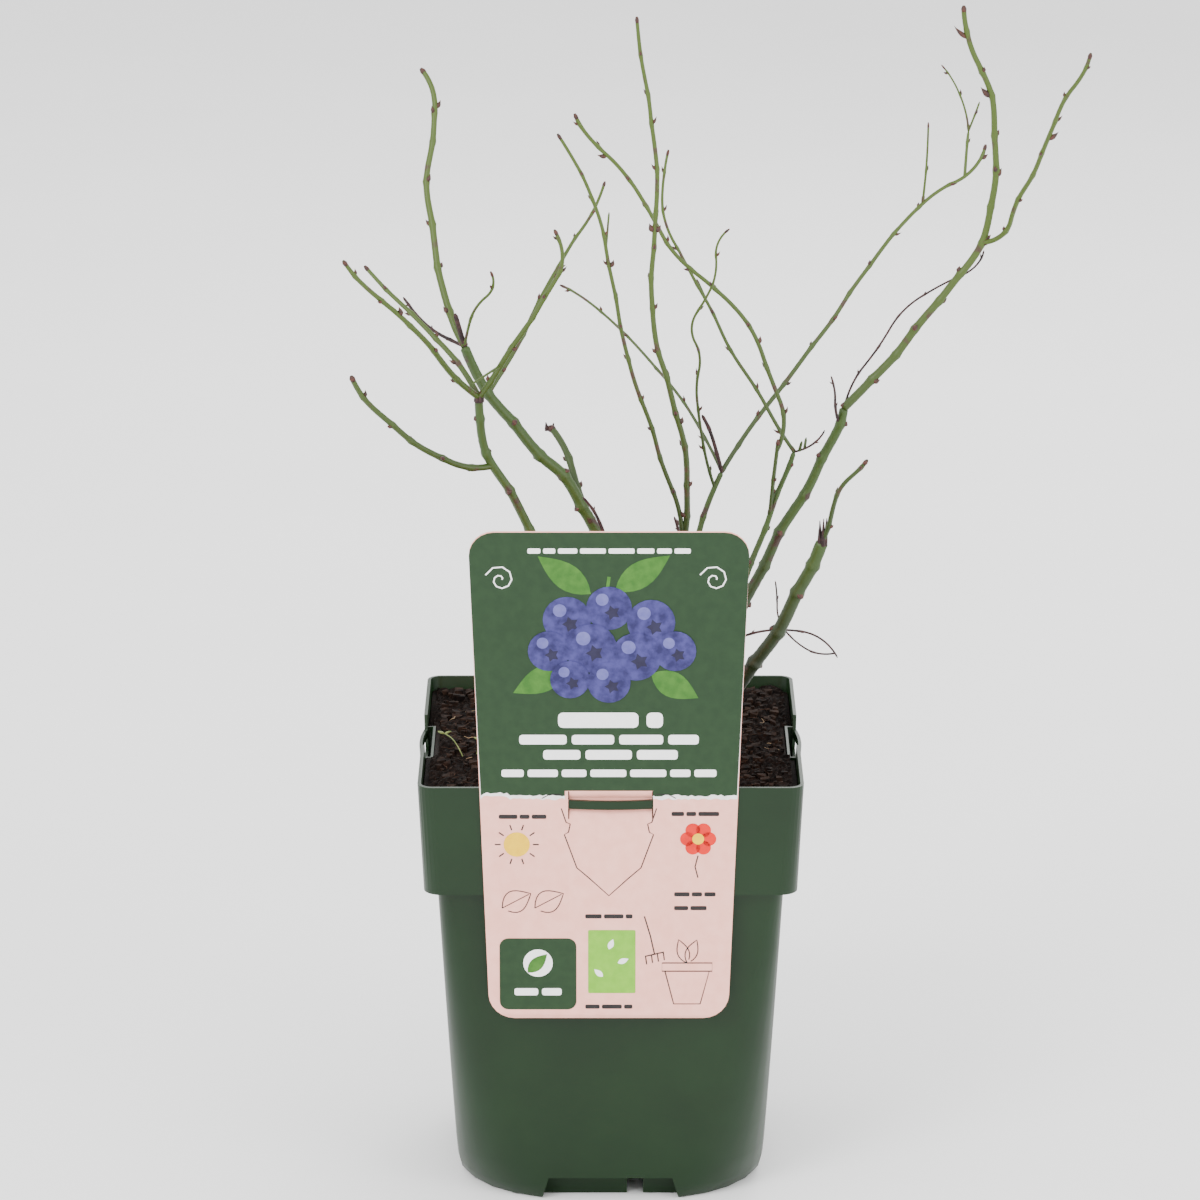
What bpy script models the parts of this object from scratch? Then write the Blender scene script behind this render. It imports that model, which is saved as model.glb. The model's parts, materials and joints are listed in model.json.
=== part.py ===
"""Potted blueberry bush in winter: a square plastic pot with a hang label, its soil,
a low root crown, seven canes, their boughs and the bare twigs at their ends.

Metres, +Z up. The pot stands on Z = 0 with its axis on Z, and the label hangs on the -Y side.
"""
import math
import random
from collections import namedtuple

import bmesh
import bpy
import numpy as np
from mathutils import Matrix, Vector

MM = 0.001
OBJECT_NAME = "potted_blueberry_bush"

# Clearance between solids that touch on the real thing
GAP = 0.3 * MM

# Pot
RIM_WIDTH = 130 * MM
POT_HEIGHT = 153 * MM
COLLAR_HEIGHT = 38.6 * MM
COLLAR_FOOT_WIDTH = 126.4 * MM
BODY_TOP_WIDTH = 117.2 * MM
BASE_WIDTH = 106 * MM
RIM_CORNER = 5 * MM
BODY_TOP_CORNER = 4 * MM
BASE_CORNER = 39 * MM
WALL = 1.2 * MM
FLOOR_LEVEL = 8 * MM
CORNER_STEPS = 6
BODY_RINGS = 8

# Foot of the pot, the same on all four sides
NOTCH_TOP_WIDTH = 42.6 * MM
NOTCH_FOOT_WIDTH = 46.5 * MM
FOOT_WALL_INSET = 6.5 * MM
FOOT_WALL_WIDTH = 50 * MM
FOOT_SLOT_WIDTH = 5.5 * MM
FOOT_SLOT_OFFSET = 8.5 * MM
CENTRE_FOOT_RADIUS = 7 * MM
DRAIN_RADIUS = 4 * MM
DRAIN_OFFSET = 26 * MM

# Label loop in the collar, the same on all four sides. Heights are below the rim.
LOOP_WIDTH = 29 * MM
LOOP_TOP = 4.4 * MM
LOOP_FOOT = 7.4 * MM
LOOP_BOW = 1.4 * MM
WINDOW_FOOT = 11.2 * MM
RIM_DIP_WIDTH = 36 * MM
POCKET_WIDTH = 36 * MM
POCKET_DEPTH = 3.9 * MM
POCKET_FOOT = 15 * MM
POCKET_WALL = 0.9 * MM

# Label, measured along the slope of the collar from the rim
LABEL_TOP = 90.7 * MM
LABEL_FOOT = -83.2 * MM
LABEL_TOP_WIDTH = 93.4 * MM
LABEL_FOOT_WIDTH = 81 * MM
LABEL_CORNER = 8.5 * MM
LABEL_THICKNESS = 0.5 * MM
LABEL_SHIFT = -0.6 * MM
TONGUE_WIDTH = 27.8 * MM
SLIT_WIDTH = 0.4 * MM

# Soil and root crown
SOIL_LEVEL = POT_HEIGHT - 5 * MM
SOIL_CLEARING = 13 * MM
CROWN_PLACE = Vector((20 * MM, 1 * MM))
CROWN_HEIGHT = 9 * MM
CROWN_RADIUS = 11.5 * MM
CROWN_LOBES = 7
CANE_START = POT_HEIGHT - 3 * MM

# Limbs: fine points are this far apart, and a tube takes every eighth of them
STEP = 1 * MM
STRIDE = 8
JOINT_REACH = 14
BLUNT_TIP = 2
FORK_REACH = 6 * MM
BUD_SPACING = 13 * MM
BUD_LENGTH = 2.4 * MM
BUD_TURN = math.radians(144)

# Foot of each cane as millimetres from the middle of the crown
CANE_FEET = {
    "cane_left": (-6.5, -2.5),
    "cane_crooked": (-5.5, 3.5),
    "cane_slender": (-1, 0),
    "cane_middle": (0, 6),
    "cane_forked": (3, -1.5),
    "cane_tall": (6.5, 4.5),
    "cane_stout": (7, -5),
}

# A limb sets off from its parent at a share of the parent's length. Leans are degrees from
# upright towards +X and swings degrees towards -Y, at even places along it; lengths and the
# two thicknesses are millimetres. Past the share twigs_from it is a mass of twigs.
Limb = namedtuple("Limb", "name parent at length leans swings base tip twigs_from")

LIMBS = (
    Limb("cane_left", None, 0, 145, (-25, -25, -30, -25, -30, 5), (10,), 3.4, 2.5, 1),
    Limb("cane_crooked", None, 0, 160, (-10, -15, -15, -20, -45, -35, -20), (0, 10), 4.6, 2.9, 1),
    Limb("cane_slender", None, 0, 70, (5,), (0,), 2.8, 2.2, 1),
    Limb("cane_middle", None, 0, 95, (5, 5, 10, 15, 25), (-5,), 2.4, 1.6, 1),
    Limb("cane_forked", None, 0, 110, (25, 20, 20), (-5, 0), 2.6, 1.5, 1),
    Limb("cane_tall", None, 0, 130, (20, 25, 25, 30, 15), (-10, 0, 10), 4.0, 2.8, 1),
    Limb("cane_stout", None, 0, 95, (35, 35, 25, 20), (15,), 4.8, 3.8, 1),
    Limb("left_low", "cane_left", 0.82, 70, (-95, -60, -45, -40, -20), (25,), 2.1, 1.6, 0.45),
    Limb("left_front", "cane_left", 1, 82, (-45, -30, -45, -30), (30,), 2.0, 1.3, 0.45),
    Limb("left_back", "cane_left", 1, 60, (-30, -50, -45), (-20,), 1.9, 1.2, 0.5),
    Limb("left_inner", "cane_left", 1, 80, (30, 30, 30, 25, -30), (25,), 2.0, 1.1, 0.5),
    Limb("inner_back", "cane_crooked", 0.88, 90, (40, 30, 30, 40, 20), (-35,), 1.7, 0.9, 0.55),
    Limb("left_tall", "cane_crooked", 1, 100, (-35, -15, -10, -10, 10, 5, -45), (-25,), 2.3, 1.6, 0.55),
    Limb("stub_dead_left", "cane_crooked", 1, 12, (-15,), (5,), 1.6, 1.4, 1),
    Limb("twig_curled", "cane_crooked", 1, 35, (10, 15, 45, -25), (25,), 0.95, 0.8, 1),
    Limb("twig_dead_left", "cane_crooked", 1, 35, (-85, -40), (-45,), 1.15, 0.8, 1),
    Limb("stub_cut_left", "cane_crooked", 0.55, 32, (-20, -20, -45), (-35,), 2.3, 2.1, 1),
    Limb("twig_dead_low", "cane_crooked", 0.42, 30, (10, -20, -35), (25,), 1.4, 0.8, 1),
    Limb("centre", "cane_slender", 1, 195, (5, 0, -15, -15, 0, 5, -5, -10, -5), (15, 5), 2.0, 1.1, 0.55),
    Limb(
        "slender", "cane_slender", 1, 165,
        (0, -20, -15, -20, -10, -10, -10, -25, -30), (15,), 1.5, 1.0, 0.55,
    ),
    Limb("twig_short", "cane_slender", 1, 15, (-15,), (30,), 0.9, 0.7, 1),
    Limb("sweep", "cane_middle", 1, 150, (30, 40, 40, 40, 35, 40, 45, 70, 15), (-20,), 1.55, 1.1, 0.7),
    Limb("cross_back", "cane_middle", 1, 90, (-25, -35, -45, -50, -70), (-25,), 1.1, 0.8, 0.5),
    Limb("stub_dead_middle", "cane_middle", 1, 25, (-10, -25), (20,), 1.2, 1.1, 1),
    Limb(
        "zigzag", "cane_middle", 0.94, 110,
        (-20, -10, -10, -5, 10, -25, 30, 20, -5, 50), (20,), 1.05, 0.7, 0.5,
    ),
    Limb("stub_cut_fork", "cane_forked", 0.78, 30, (5,), (15,), 1.25, 1.2, 1),
    Limb(
        "long_back", "cane_forked", 1, 115,
        (-35, -30, -35, -25, -30, -30, 0, 15), (-10,), 1.2, 0.85, 0.55,
    ),
    Limb(
        "long_front", "stub_cut_fork", 0.88, 140,
        (25, -20, -20, -40, -55, -30, -30, -50, -25), (0, -5), 1.4, 1.2, 0.55,
    ),
    Limb("twig_dead_link", "cane_forked", 1, 15, (75, 50, 20), (20,), 0.7, 0.6, 1),
    Limb("tall", "cane_tall", 1, 160, (45, 40, 35, 40, 15, 0, -5, -30, 0), (5,), 2.75, 1.5, 0.6),
    Limb("outer", "tall", 0.47, 95, (80, 10, 25, 15, 15, 30, 10), (30,), 1.6, 1.2, 0.5),
    Limb("twig_dead_vine", "cane_tall", 1, 80, (15, 40, 30, 55, 60, 5), (-30, 40), 0.75, 0.6, 1),
    Limb("spur_dead_right", "cane_tall", 0.95, 25, (-20, 0, -20), (35,), 1.0, 0.6, 1),
    Limb("new_right", "cane_stout", 1, 40, (20, 10, 15, 40, 35), (25,), 1.6, 1.3, 0.5),
    Limb("twig_dead_wire", "cane_tall", 0.27, 45, (65, 75, 90, 100, 130, 155), (-10,), 0.8, 0.6, 1),
)

# Side twigs are fused to the limb that they stand on, and are described in the same way.
SIDE_TWIGS = (
    Limb("left_inner_side", "left_inner", 0.2, 15, (-110,), (50,), 0.9, 0.7, 1),
    Limb("slender_side", "slender", 0.72, 12, (5,), (-15,), 0.7, 0.6, 1),
    Limb("sweep_side_low", "sweep", 0.79, 30, (5, 0), (10,), 0.8, 0.6, 1),
    Limb("sweep_side_top", "sweep", 0.91, 16, (5,), (-15,), 1.0, 0.8, 1),
    Limb("sweep_fork_left", "sweep_side_top", 1, 28, (-5, -40), (15,), 0.7, 0.5, 1),
    Limb("sweep_fork_right", "sweep_side_top", 1, 12, (25,), (-35,), 0.7, 0.6, 1),
    Limb("long_back_side", "long_back", 0.52, 8, (-25,), (-25,), 0.9, 0.6, 1),
    Limb("link_stub_left", "twig_dead_link", 0.1, 5, (10,), (35,), 1.0, 0.8, 1),
    Limb("link_stub_right", "twig_dead_link", 0.25, 4, (10,), (-25,), 0.9, 0.8, 1),
    Limb("wire_back", "twig_dead_wire", 0.96, 45, (-95, -55, -35, 0, -10), (20,), 0.6, 0.5, 1),
)

# Colours as red, green, blue, with roughness
POT_GREEN = (0.045, 0.085, 0.036)
SOIL_BROWN = (0.025, 0.014, 0.009)
LABEL_PINK = (0.80, 0.60, 0.56)
CROWN_BROWN = (0.09, 0.06, 0.035)
CANE_GREEN = (0.13, 0.17, 0.05)
SHOOT_GREEN = (0.22, 0.27, 0.08)
DEAD_PURPLE = (0.07, 0.035, 0.035)


def clear_scene():
    for item in list(bpy.data.objects):
        bpy.data.objects.remove(item, do_unlink=True)


def make_collection(name):
    group = bpy.data.collections.new(name)
    bpy.context.scene.collection.children.link(group)
    return group


def make_material(name, colour, roughness):
    material = bpy.data.materials.new(name)
    material.use_nodes = True
    shader = material.node_tree.nodes["Principled BSDF"]
    shader.inputs["Base Color"].default_value = (*colour, 1)
    shader.inputs["Roughness"].default_value = roughness
    shader.inputs["Metallic"].default_value = 0
    return material


def object_from_bmesh(name, shape, collection):
    bmesh.ops.recalc_face_normals(shape, faces=shape.faces)
    mesh = bpy.data.meshes.new(name)
    shape.to_mesh(mesh)
    shape.free()
    item = bpy.data.objects.new(name, mesh)
    collection.objects.link(item)
    return item


def evaluated_mesh(item):
    """The mesh of an object with its modifiers and its place applied."""
    bpy.context.view_layer.update()
    graph = bpy.context.evaluated_depsgraph_get()
    mesh = bpy.data.meshes.new_from_object(item.evaluated_get(graph))
    mesh.transform(item.matrix_world)
    return mesh


def remove_object(item):
    data = item.data
    bpy.data.objects.remove(item, do_unlink=True)
    if isinstance(data, bpy.types.Curve):
        bpy.data.curves.remove(data)
    else:
        bpy.data.meshes.remove(data)


def apply_modifiers(item):
    mesh = evaluated_mesh(item)
    item.modifiers.clear()
    item.matrix_world = Matrix()
    old = item.data
    item.data = mesh
    bpy.data.meshes.remove(old)


def combine(target, others, operation, solver="EXACT"):
    """Joins the others to the target or cuts them out of it, and removes them."""
    group = make_collection("cutters")
    for other in others:
        for home in list(other.users_collection):
            home.objects.unlink(other)
        group.objects.link(other)
        other.hide_render = True
        other.display_type = "WIRE"
    boolean = target.modifiers.new("boolean", "BOOLEAN")
    boolean.operation = operation
    boolean.solver = solver
    boolean.operand_type = "COLLECTION"
    boolean.collection = group
    apply_modifiers(target)
    for other in others:
        remove_object(other)
    bpy.data.collections.remove(group)


def keep_largest(item):
    """Drops any loose scrap that a cut has left."""
    shape = bmesh.new()
    shape.from_mesh(item.data)
    left = set(shape.verts)
    groups = []
    while left:
        found = {left.pop()}
        front = list(found)
        while front:
            for edge in front.pop().link_edges:
                for vertex in edge.verts:
                    if vertex not in found:
                        found.add(vertex)
                        front.append(vertex)
        left -= found
        groups.append(found)
    groups.sort(key=len)
    for scrap in groups[:-1]:
        bmesh.ops.delete(shape, geom=list(scrap), context="VERTS")
    shape.to_mesh(item.data)
    shape.free()


def rounded_square(half, radius):
    """Points round a square of this half width with round corners, in one plane."""
    points = []
    for corner in range(4):
        middle = math.radians(45 + 90 * corner)
        centre = (half - radius) * math.sqrt(2)
        for step in range(CORNER_STEPS + 1):
            turn = math.radians(90 * corner + 90 * step / CORNER_STEPS)
            x = centre * math.cos(middle) + radius * math.cos(turn)
            y = centre * math.sin(middle) + radius * math.sin(turn)
            points.append((x, y))
    return points


def loft(rings, cap_first, cap_last):
    """Skin through rings of equally many points."""
    shape = bmesh.new()
    rows = [[shape.verts.new(point) for point in ring] for ring in rings]
    count = len(rows[0])
    for low, high in zip(rows, rows[1:]):
        for i in range(count):
            j = (i + 1) % count
            shape.faces.new((low[i], low[j], high[j], high[i]))
    if cap_first:
        shape.faces.new(reversed(rows[0]))
    if cap_last:
        shape.faces.new(rows[-1])
    return shape


def box(name, low, high, collection):
    shape = bmesh.new()
    bmesh.ops.create_cube(shape, size=1)
    size = [b - a for a, b in zip(low, high)]
    middle = [(a + b) / 2 for a, b in zip(low, high)]
    bmesh.ops.scale(shape, vec=size, verts=shape.verts)
    bmesh.ops.translate(shape, vec=middle, verts=shape.verts)
    return object_from_bmesh(name, shape, collection)


def cylinder(name, radius, low, high, place, collection):
    shape = bmesh.new()
    bmesh.ops.create_cone(
        shape, cap_ends=True, segments=16, radius1=radius, radius2=radius, depth=high - low
    )
    bmesh.ops.translate(shape, vec=(*place, (low + high) / 2), verts=shape.verts)
    return object_from_bmesh(name, shape, collection)


def plate(name, outline, thickness, collection):
    """A flat outline in X and Z, made solid by half the thickness to each side of Y = 0."""
    curve = bpy.data.curves.new(name, "CURVE")
    curve.dimensions = "2D"
    curve.fill_mode = "BOTH"
    curve.extrude = thickness / 2
    spline = curve.splines.new("POLY")
    spline.points.add(len(outline) - 1)
    for point, (x, z) in zip(spline.points, outline):
        point.co = (x, z, 0, 1)
    spline.use_cyclic_u = True
    flat = bpy.data.objects.new(name, curve)
    flat.matrix_world = Matrix.Rotation(math.radians(90), 4, "X")
    collection.objects.link(flat)
    mesh = evaluated_mesh(flat)
    remove_object(flat)
    shape = bmesh.new()
    shape.from_mesh(mesh)
    bpy.data.meshes.remove(mesh)
    bmesh.ops.remove_doubles(shape, verts=shape.verts, dist=0.001 * MM)
    return object_from_bmesh(name, shape, collection)


def body_section(share):
    """Half width and corner radius of the pot's body, from its base to the collar."""
    half = (BASE_WIDTH + (BODY_TOP_WIDTH - BASE_WIDTH) * share) / 2
    radius = BASE_CORNER + (BODY_TOP_CORNER - BASE_CORNER) * math.sqrt(share)
    return half, radius


def body_rings():
    """Level, half width and corner radius of the rings that the pot's body is made of."""
    bevel = 1 * MM
    height = POT_HEIGHT - COLLAR_HEIGHT - bevel
    shares = [(step / BODY_RINGS) ** 1.6 for step in range(BODY_RINGS + 1)]
    return [(bevel + height * share, *body_section(share)) for share in shares]


def ring_at(half, radius, level):
    return [(x, y, level) for x, y in rounded_square(half, radius)]


def side_turn(side):
    return Matrix.Rotation(math.radians(90 * side), 4, "Z")


def collar_frame():
    """Takes x, outward and up the collar's slope, from the rim's middle on the -Y side."""
    drop = (RIM_WIDTH - COLLAR_FOOT_WIDTH) / 2
    slope = math.atan2(drop, COLLAR_HEIGHT)
    lean = Matrix.Rotation(slope, 4, "X")
    return Matrix.Translation((0, -RIM_WIDTH / 2, POT_HEIGHT)) @ lean


def on_side(item, side, frame):
    item.data.transform(side_turn(side) @ frame)
    return item


def pot_shell(collection):
    collar_foot = POT_HEIGHT - COLLAR_HEIGHT
    bevel, half, radius = body_rings()[0]
    rings = [ring_at(half - bevel, radius - bevel, 0)]
    rings += [ring_at(half, radius, level) for level, half, radius in body_rings()]
    rings.append(ring_at(COLLAR_FOOT_WIDTH / 2, RIM_CORNER + WALL, collar_foot))
    rings.append(ring_at(RIM_WIDTH / 2, RIM_CORNER, POT_HEIGHT))
    shell = object_from_bmesh("pot", loft(rings, False, False), collection)
    solidify = shell.modifiers.new("wall", "SOLIDIFY")
    solidify.thickness = WALL
    solidify.offset = -1
    solidify.use_even_offset = True
    apply_modifiers(shell)
    return shell


def pot_additions(collection):
    """Floor, centre foot, recessed foot walls and the pockets behind the label loops."""
    half, radius = body_section(FLOOR_LEVEL / (POT_HEIGHT - COLLAR_HEIGHT))
    inset = WALL / 2
    rings = [ring_at(half - inset, radius - inset, level) for level in (FLOOR_LEVEL, FLOOR_LEVEL + WALL)]
    parts = [object_from_bmesh("floor", loft(rings, True, True), collection)]
    overlap = FLOOR_LEVEL + WALL / 2
    parts.append(cylinder("centre_foot", CENTRE_FOOT_RADIUS, 0, overlap, (0, 0), collection))
    front = -BASE_WIDTH / 2 + FOOT_WALL_INSET
    for side in range(4):
        low = (-FOOT_WALL_WIDTH / 2, front, 0)
        high = (FOOT_WALL_WIDTH / 2, front + WALL, overlap)
        parts.append(on_side(box("foot_wall", low, high, collection), side, Matrix()))
        low = (-POCKET_WIDTH / 2, WALL / 2, -POCKET_FOOT)
        high = (POCKET_WIDTH / 2, POCKET_DEPTH, -LOOP_TOP)
        parts.append(on_side(box("pocket", low, high, collection), side, collar_frame()))
    return parts


def pot_openings(collection):
    """Foot notches, slots, drain holes, the insides of the pockets and the loop windows."""
    cuts = []
    front = -BASE_WIDTH / 2
    for side in range(4):
        notch = [
            (-NOTCH_FOOT_WIDTH / 2 - 1 * MM, -3 * MM),
            (NOTCH_FOOT_WIDTH / 2 + 1 * MM, -3 * MM),
            (NOTCH_TOP_WIDTH / 2, FLOOR_LEVEL),
            (-NOTCH_TOP_WIDTH / 2, FLOOR_LEVEL),
        ]
        cut = plate("notch", notch, 2 * FOOT_WALL_INSET - 2 * MM, collection)
        cuts.append(on_side(cut, side, Matrix.Translation((0, front, 0))))
        low = (FOOT_SLOT_OFFSET - FOOT_SLOT_WIDTH / 2, front + FOOT_WALL_INSET - 1 * MM, -1 * MM)
        high = (FOOT_SLOT_OFFSET + FOOT_SLOT_WIDTH / 2, front + FOOT_WALL_INSET + 3 * MM, FLOOR_LEVEL)
        cuts.append(on_side(box("slot", low, high, collection), side, Matrix()))
        hole = cylinder("drain", DRAIN_RADIUS, 0, 2 * FLOOR_LEVEL, (DRAIN_OFFSET, DRAIN_OFFSET), collection)
        cuts.append(on_side(hole, side, Matrix()))
        inside = POCKET_WIDTH / 2 - POCKET_WALL
        low = (-inside, WALL - 0.1 * MM, -POCKET_FOOT + POCKET_WALL)
        high = (inside, POCKET_DEPTH - POCKET_WALL, 2 * MM)
        cuts.append(on_side(box("pocket_inside", low, high, collection), side, collar_frame()))
        window = [
            (-LOOP_WIDTH / 2, -WINDOW_FOOT),
            (LOOP_WIDTH / 2, -WINDOW_FOOT),
            (LOOP_WIDTH / 2, -LOOP_TOP),
            (RIM_DIP_WIDTH / 2, 1 * MM),
            (-RIM_DIP_WIDTH / 2, 1 * MM),
            (-LOOP_WIDTH / 2, -LOOP_TOP),
        ]
        cut = plate("window", window, 3.5 * WALL, collection)
        cuts.append(on_side(cut, side, collar_frame()))
    return cuts


def bowed_loop(collection):
    """The strap that holds the label's tongue: a strip that bows out of the collar."""
    end = LOOP_WIDTH / 2 + 1 * MM
    steps = 8
    shape = bmesh.new()
    rows = []
    for level in (-LOOP_FOOT, -LOOP_TOP):
        row = []
        for step in range(steps + 1):
            x = end * (2 * step / steps - 1)
            bow = LOOP_BOW * (1 - (x / end) ** 2) - 0.05 * MM
            row.append(shape.verts.new((x, -bow, level)))
        rows.append(row)
    for i in range(steps):
        shape.faces.new((rows[0][i], rows[0][i + 1], rows[1][i + 1], rows[1][i]))
    loop = object_from_bmesh("loop", shape, collection)
    solidify = loop.modifiers.new("wall", "SOLIDIFY")
    solidify.thickness = WALL - 0.1 * MM
    solidify.offset = -1 if loop.data.polygons[0].normal.y < 0 else 1
    apply_modifiers(loop)
    return loop


def make_pot(collection):
    pot = pot_shell(collection)
    combine(pot, pot_additions(collection), "UNION")
    combine(pot, pot_openings(collection), "DIFFERENCE")
    loops = [on_side(bowed_loop(collection), side, collar_frame()) for side in range(4)]
    combine(pot, loops, "UNION")
    return pot


def soil_height(x, y):
    """Height of the soil's uneven top, flat round the root crown."""
    from_crown = math.hypot(x - CROWN_PLACE.x, y - CROWN_PLACE.y)
    rise = 0.9 * MM * math.sin(x / (15 * MM)) * math.cos(y / (12 * MM))
    heap = 2.2 * MM * math.exp(-((x + 45 * MM) ** 2 + (y + 42 * MM) ** 2) / (22 * MM) ** 2)
    spread = min(1, max(0, (from_crown - SOIL_CLEARING) / (12 * MM)))
    return SOIL_LEVEL + (rise + heap) * spread


def make_soil(collection):
    inset = WALL + GAP
    collar_foot = POT_HEIGHT - COLLAR_HEIGHT
    floor = FLOOR_LEVEL + WALL + GAP
    levels, halves, radii = np.array(body_rings()).T
    rings = []
    for level in [floor, *levels[levels > floor + 1 * MM]]:
        half = np.interp(level, levels, halves)
        radius = np.interp(level, levels, radii)
        rings.append(ring_at(half - inset, radius - inset, level))
    ledge = collar_foot + inset
    half, radius = body_section(1)
    rings.append(ring_at(half - inset, radius - inset, ledge))
    collar_share = (SOIL_LEVEL - ledge) / COLLAR_HEIGHT
    foot_half = COLLAR_FOOT_WIDTH / 2 - inset
    top_half = foot_half + (RIM_WIDTH - COLLAR_FOOT_WIDTH) / 2 * collar_share
    rings.append(ring_at(foot_half, RIM_CORNER, ledge))
    rim = [(x, y, soil_height(x, y)) for x, y in rounded_square(top_half, RIM_CORNER - inset)]
    rings.append(rim)
    angles = [math.atan2(y - CROWN_PLACE.y, x - CROWN_PLACE.x) for x, y, z in rim]
    for share in (0.2, 0.42, 0.66, 0.86, 1):
        ring = []
        for (x, y, z), angle in zip(rim, angles):
            near_x = CROWN_PLACE.x + SOIL_CLEARING * math.cos(angle)
            near_y = CROWN_PLACE.y + SOIL_CLEARING * math.sin(angle)
            px = x + (near_x - x) * share
            py = y + (near_y - y) * share
            ring.append((px, py, soil_height(px, py)))
        rings.append(ring)
    soil = object_from_bmesh("soil", loft(rings, True, True), collection)
    pockets = []
    for side in range(4):
        low = (-POCKET_WIDTH / 2 - GAP, -2 * MM, -POCKET_FOOT - GAP)
        high = (POCKET_WIDTH / 2 + GAP, POCKET_DEPTH + GAP, 5 * MM)
        pockets.append(on_side(box("pocket_room", low, high, collection), side, collar_frame()))
    combine(soil, pockets, "DIFFERENCE")
    return soil


def label_half_width(level):
    """Half the label's width at a level: narrower at its foot, with round corners."""
    share = (level - LABEL_FOOT) / (LABEL_TOP - LABEL_FOOT)
    half = (LABEL_FOOT_WIDTH + (LABEL_TOP_WIDTH - LABEL_FOOT_WIDTH) * share) / 2
    from_end = min(level - LABEL_FOOT, LABEL_TOP - level)
    rise = max(0, LABEL_CORNER - from_end)
    return half - LABEL_CORNER + math.sqrt(max(0, LABEL_CORNER ** 2 - rise ** 2))


def corner_levels():
    """Distances from the label's ends at which its round corners get a row of points."""
    turns = [math.radians(90 * step / CORNER_STEPS) for step in range(CORNER_STEPS + 1)]
    return [LABEL_CORNER * (1 - math.cos(turn)) for turn in turns]


def tongue_depth(level):
    """How far the label's tongue lies behind the sheet, as it passes behind the loop."""
    behind = 2.3 * MM
    levels = (-WINDOW_FOOT + 0.3 * MM, -LOOP_FOOT - 0.4 * MM, -LOOP_TOP + 0.4 * MM, -0.8 * MM)
    return float(np.interp(level, levels, (0, behind, behind, 0)))


def make_label(collection):
    """A sheet with two slits, between which a tongue is pushed behind the loop."""
    tongue = TONGUE_WIDTH / 2
    slit = tongue + SLIT_WIDTH
    slit_foot = -WINDOW_FOOT + 0.3 * MM
    slit_top = -0.8 * MM
    middle_rows = [slit_foot, -LOOP_FOOT - 0.4 * MM, -LOOP_TOP + 0.4 * MM, slit_top]
    foot_rows = [LABEL_FOOT + level for level in corner_levels()]
    top_rows = [LABEL_TOP - level for level in reversed(corner_levels())]
    rows = foot_rows + middle_rows + top_rows
    shape = bmesh.new()
    face_depth = GAP + LABEL_THICKNESS / 2
    grid = []
    for z in rows:
        line = []
        half = label_half_width(z)
        for x in (LABEL_SHIFT - half, -slit, -tongue, tongue, slit, LABEL_SHIFT + half):
            on_tongue = abs(x) <= tongue
            y = -face_depth + (tongue_depth(z) if on_tongue else 0)
            line.append(shape.verts.new((x, y, z)))
        grid.append(line)
    for j in range(len(rows) - 1):
        for i in range(5):
            if i in (1, 3) and slit_foot <= rows[j] < slit_top:
                continue
            shape.faces.new((grid[j][i], grid[j][i + 1], grid[j + 1][i + 1], grid[j + 1][i]))
    label = object_from_bmesh("label", shape, collection)
    solidify = label.modifiers.new("sheet", "SOLIDIFY")
    solidify.thickness = LABEL_THICKNESS
    solidify.offset = 0
    solidify.use_even_offset = True
    apply_modifiers(label)
    label.data.transform(collar_frame())
    return label


def crown_shape(extra):
    """The root crown: a low stump that flares into lobes at the ground, on a flat cut."""
    ground = SOIL_LEVEL + GAP - extra
    levels = (0, 0.12, 0.4, 0.75, 1)
    widths = (1.32, 1.22, 1.04, 0.98, 0.86)
    count = 28
    rings = []
    for level, width in zip(levels, widths):
        ring = []
        for i in range(count):
            turn = 2 * math.pi * i / count
            lobe = 1 + 0.09 * (1 - level) * math.cos(CROWN_LOBES * turn) + 0.05 * math.cos(2 * turn + 1)
            radius = CROWN_RADIUS * width * lobe * 0.8 + extra
            x = CROWN_PLACE.x + radius * math.cos(turn)
            y = CROWN_PLACE.y + radius * math.sin(turn)
            ring.append((x, y, ground + (CROWN_HEIGHT + 2 * extra) * level))
        rings.append(ring)
    return loft(rings, True, True)


def make_crown(collection):
    return object_from_bmesh("root_crown", crown_shape(0), collection)


def trail(start, limb):
    """Fine points along a limb that sets off from start and turns through its leans."""
    count = max(3, round(limb.length * MM / STEP))
    places = (np.arange(count) + 0.5) / count
    lean = np.radians(np.interp(places, np.linspace(0, 1, len(limb.leans)), limb.leans))
    swing = np.radians(np.interp(places, np.linspace(0, 1, len(limb.swings)), limb.swings))
    steps = np.stack(
        [np.sin(lean) * np.cos(swing), -np.sin(swing), np.cos(lean) * np.cos(swing)], axis=1
    )
    steps *= limb.length * MM / count
    return np.vstack([start, start + np.cumsum(steps, axis=0)])


def all_trails():
    """Fine points of every limb and side twig, by name."""
    trails = {}
    for limb in LIMBS + SIDE_TWIGS:
        if limb.parent is None:
            x, y = CANE_FEET[limb.name]
            start = np.array([CROWN_PLACE.x + x * MM, CROWN_PLACE.y + y * MM, CANE_START])
        else:
            parent = trails[limb.parent]
            start = parent[round(limb.at * (len(parent) - 1))]
        trails[limb.name] = trail(start, limb)
    return trails


def radius_at(limb, share):
    return (limb.base + (limb.tip - limb.base) * share) / 2 * MM


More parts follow.
